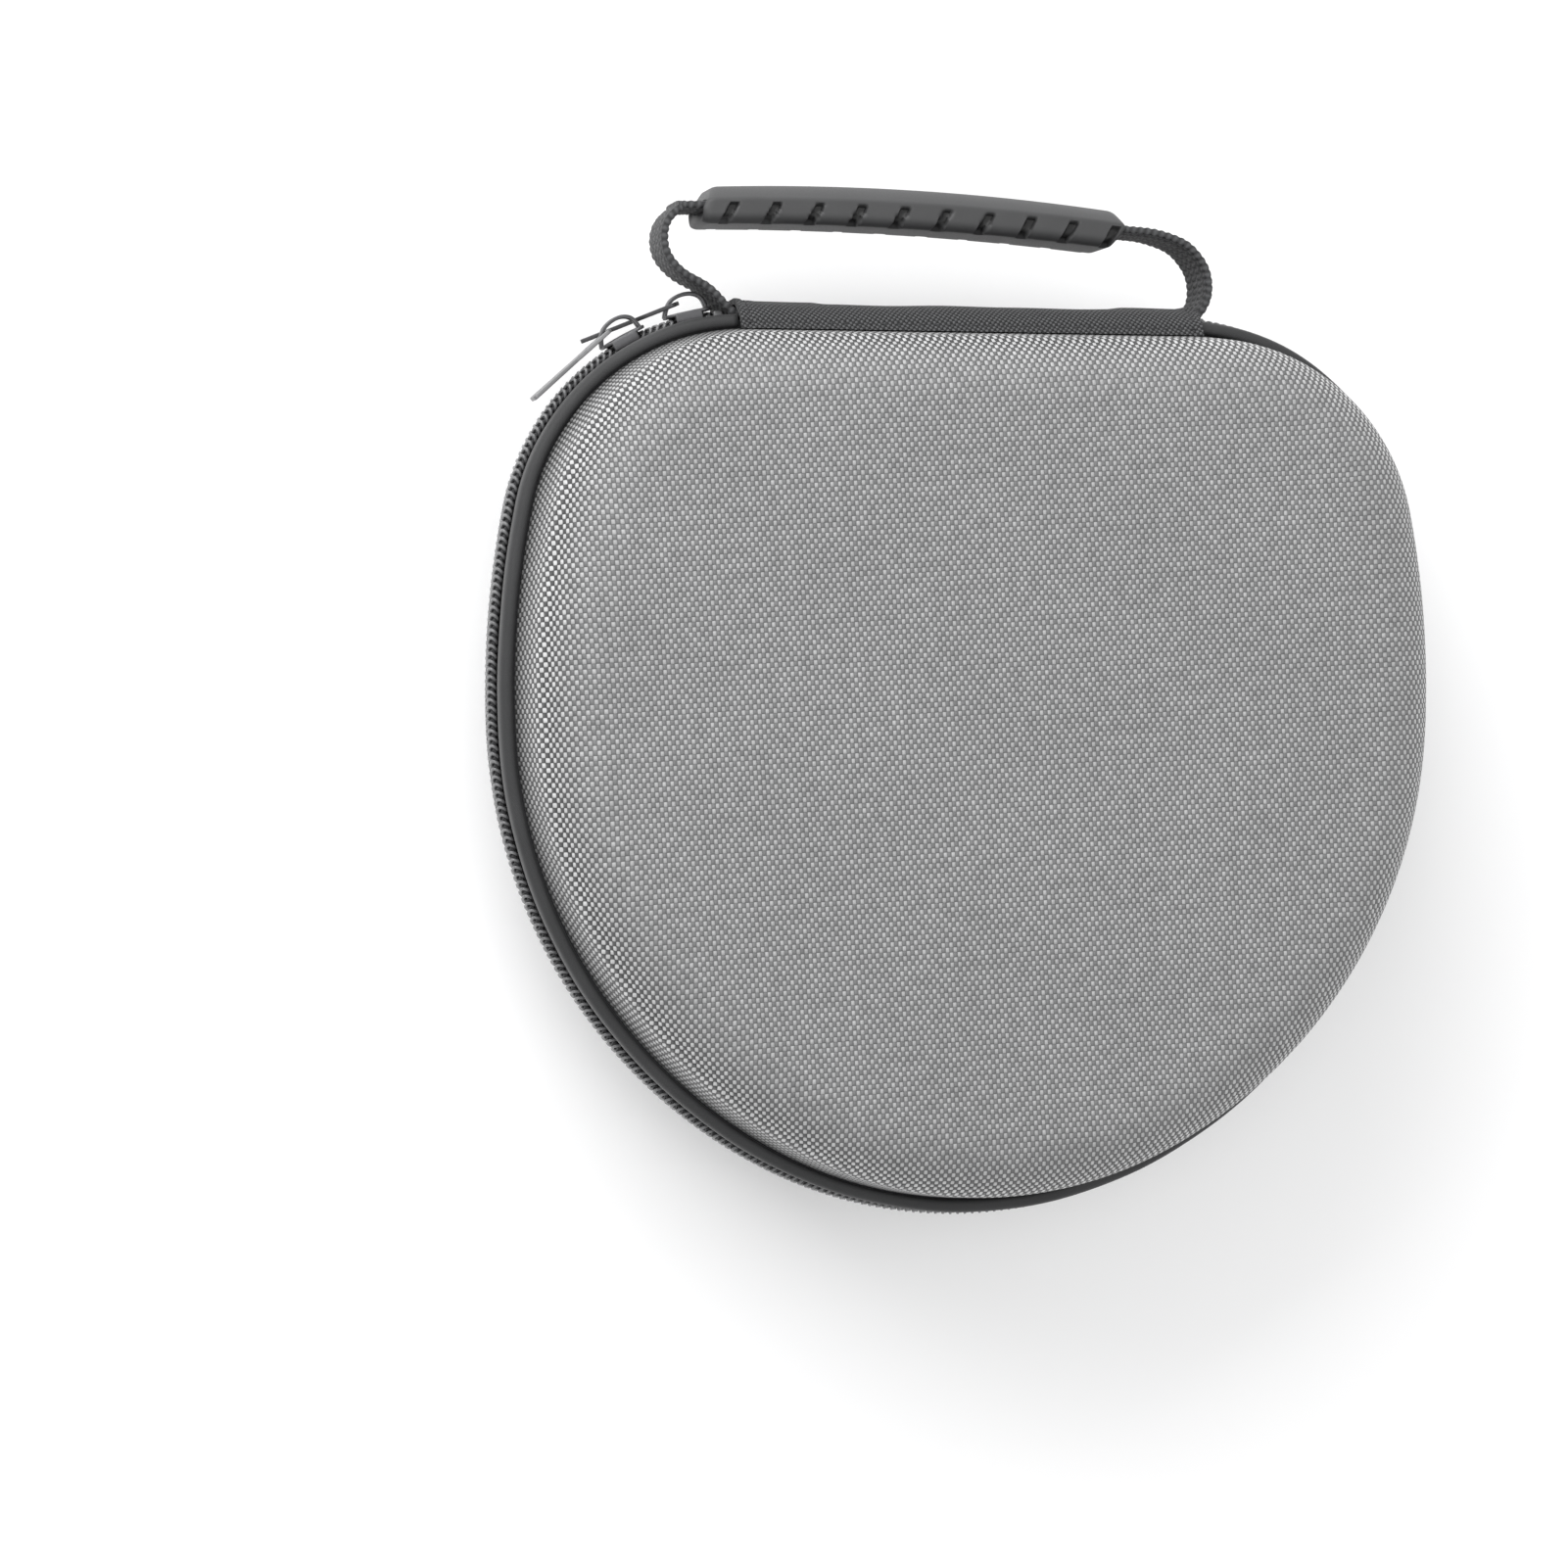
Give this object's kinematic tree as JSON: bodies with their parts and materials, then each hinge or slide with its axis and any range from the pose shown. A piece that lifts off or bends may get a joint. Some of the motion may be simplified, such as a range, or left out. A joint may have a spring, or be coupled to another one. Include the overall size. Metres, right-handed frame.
{
  "type": "headphone carrying case",
  "caption": "Zipped hard-shell case for over-ear headphones: moulded fabric-covered halves on a fabric hinge, coil zip with sliders and pulls, webbing handle with a grip.",
  "frame": {"origin": "centre of the rear shell's flat face, on which the case lies", "axes": "+Z out of the front face, +Y towards the hinge and handle, +X to the right seen from the front"},
  "size_m": [0.2252, 0.2417, 0.086],
  "materials": {
    "shell_cover": "satin",
    "foam_shell": "matte",
    "lining": "matte",
    "binding": "matte",
    "zip_tape": "matte",
    "zip_coil": "satin",
    "zip_metal": "satin",
    "pull_dark": "satin",
    "pull_metal": "satin",
    "hinge_fabric": "matte",
    "webbing": "matte",
    "grip": "matte",
    "mesh": "matte",
    "pocket_elastic": "matte"
  },
  "bodies": {
    "rear": {"rear_cover": "shell_cover", "rear_shell": "foam_shell", "rear_lining": "lining", "rear_binding": "binding", "rear_zip_tape": "zip_tape", "rear_zip_coil": "zip_coil", "rear_zip_stops": "zip_metal"},
    "spine": {"hinge_panel": "hinge_fabric", "hinge_lining": "lining", "strap_anchor_left": "webbing", "strap_anchor_right": "webbing"},
    "lid": {"front_cover": "shell_cover", "front_shell": "foam_shell", "front_lining": "lining", "front_binding": "binding", "front_zip_tape": "zip_tape", "front_zip_coil": "zip_coil", "front_zip_stops": "zip_metal", "mesh_pocket": "mesh", "pocket_hem": "pocket_elastic"},
    "handle": {"handle_strap": "webbing", "handle_grip": "grip"},
    "slider_a": {"slider_a_body": "zip_metal"},
    "slider_b": {"slider_b_body": "zip_metal"},
    "pull_a": {"pull_a_plate": "pull_dark"},
    "pull_b": {"pull_b_plate": "pull_metal"}
  },
  "joints": [
    {"name": "spine_fold", "type": "hinge", "parent": "rear", "child": "spine", "pos_m": [0, 0.10701, 0.035], "axis": [-1, 0, 0], "range_deg": [0, 70], "deforming": ["hinge_panel", "hinge_lining", "front_zip_tape", "front_zip_coil"]},
    {"name": "lid_fold", "type": "hinge", "parent": "spine", "child": "lid", "pos_m": [0, 0.10701, 0.051], "axis": [-1, 0, 0], "range_deg": [0, 70], "deforming": ["hinge_panel", "hinge_lining", "front_zip_tape", "front_zip_coil"]},
    {"name": "handle_swing", "type": "hinge", "parent": "spine", "child": "handle", "pos_m": [0, 0.10701, 0.043], "axis": [1, 0, 0], "range_deg": [-15, 15], "stiffness_Nm_per_rad": 0.25},
    {"name": "slider_a_travel", "type": "hinge", "parent": "rear", "child": "slider_a", "pos_m": [-0.053, 0.04981, 0.043], "axis": [0, 0, 1], "range_deg": [0, 1]},
    {"name": "slider_b_travel", "type": "hinge", "parent": "rear", "child": "slider_b", "pos_m": [-0.053, 0.04981, 0.043], "axis": [0, 0, 1], "range_deg": [0, 32]},
    {"name": "pull_a_swing", "type": "hinge", "parent": "slider_a", "child": "pull_a", "pos_m": [-0.06998, 0.10698, 0.043], "axis": [0.4065, 0.1642, -0.8988], "range_deg": [0, 35]},
    {"name": "pull_b_swing", "type": "hinge", "parent": "slider_b", "child": "pull_b", "pos_m": [-0.08552, 0.0998, 0.043], "axis": [0, 0, -1], "range_deg": [0, 45]}
  ],
  "couplings": [
    {"joint": "lid_fold", "follows": "spine_fold", "ratio": 1}
  ]
}
